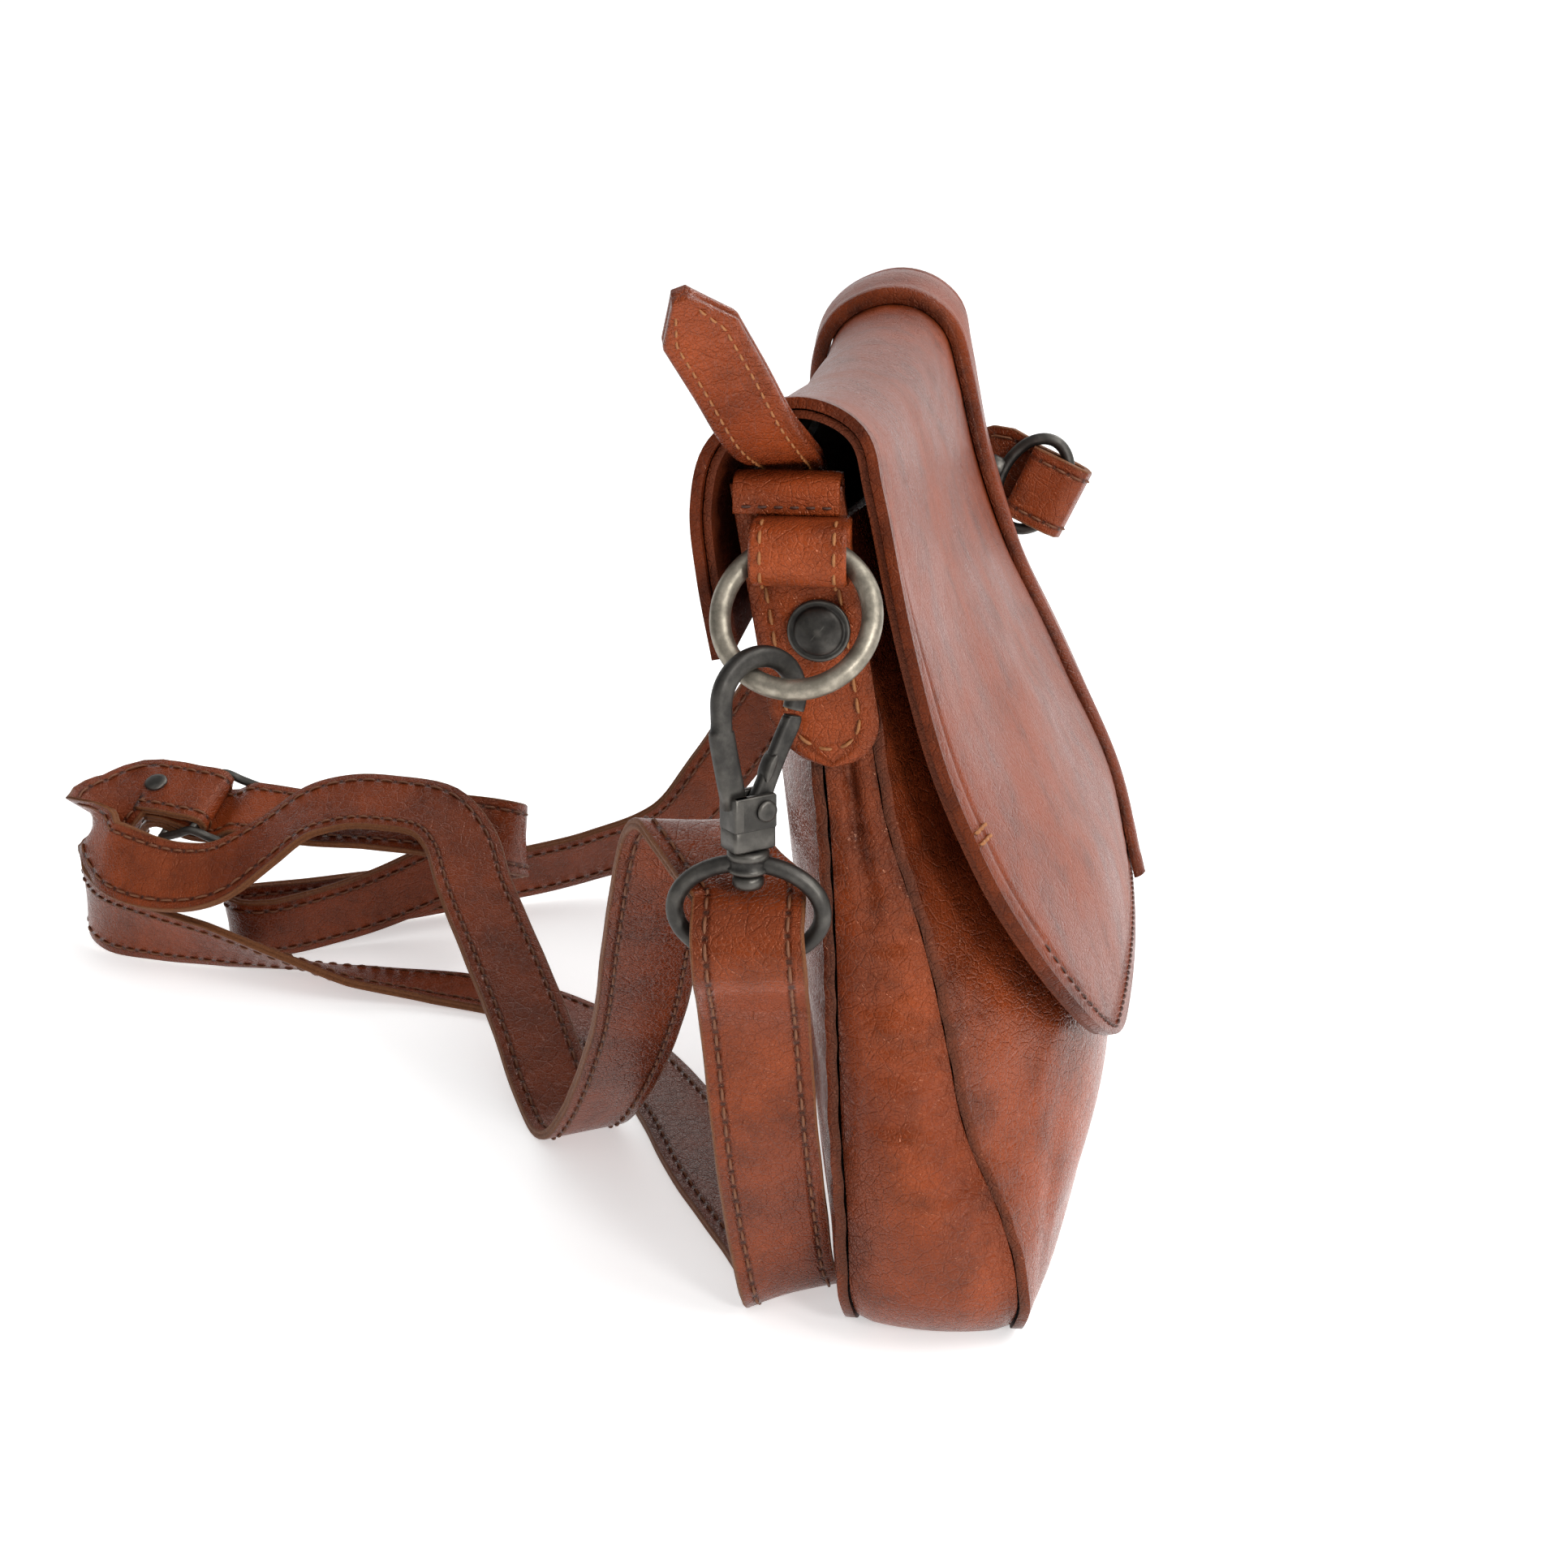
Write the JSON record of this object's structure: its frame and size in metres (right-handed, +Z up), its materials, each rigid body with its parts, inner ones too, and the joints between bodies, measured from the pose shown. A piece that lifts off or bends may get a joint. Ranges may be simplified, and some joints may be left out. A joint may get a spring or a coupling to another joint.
{
  "type": "shoulder bag",
  "caption": "Small brown leather shoulder bag with a curved front flap, a wavy overlaid seam, side rings, swivel clasps and a long adjustable strap.",
  "frame": {"origin": "middle of the flat base, where the bag stands", "axes": "+Z up, the flap's front faces -Y, the width runs along X with the pictured end at -X, the strap lies behind at +Y"},
  "size_m": [0.3087, 0.3215, 0.2225],
  "materials": {
    "leather": "satin, vegetable tanned, lightly waxed",
    "facing_leather": "matt flesh side",
    "strap_leather": "satin with raw brown edges",
    "ring_metal": "antique brushed",
    "clasp_metal": "dark antique plating, worn at the edges"
  },
  "bodies": {
    "bag": {"front_panel": "leather", "back_panel": "leather", "gusset": "leather", "flap": "leather", "flap_wave_panel": "leather", "side_tab_near": "leather", "side_cap_near": "leather", "ring_loop_near": "leather", "side_tab_far": "leather", "side_cap_far": "leather", "ring_loop_far": "leather", "zip_end_tab": "leather", "flap_facing": "facing_leather", "strap": "strap_leather", "ring_near": "ring_metal", "ring_far": "ring_metal", "side_stud_near": "clasp_metal", "side_stud_far": "clasp_metal", "clasp_hook": "clasp_metal", "clasp_pin": "clasp_metal", "clasp_eye": "clasp_metal", "far_clasp": "clasp_metal", "strap_slider": "clasp_metal", "slider_rivet": "clasp_metal"},
    "gate": {"clasp_gate": "clasp_metal"}
  },
  "joints": [
    {"name": "gate_open", "type": "hinge", "parent": "bag", "child": "gate", "pos_m": [-0.1345, 0.0321, 0.12675], "axis": [-0.766, -0.6428, 0], "range_deg": [0, 18], "stiffness_Nm_per_rad": 0.01, "springref_deg": -5.73}
  ]
}
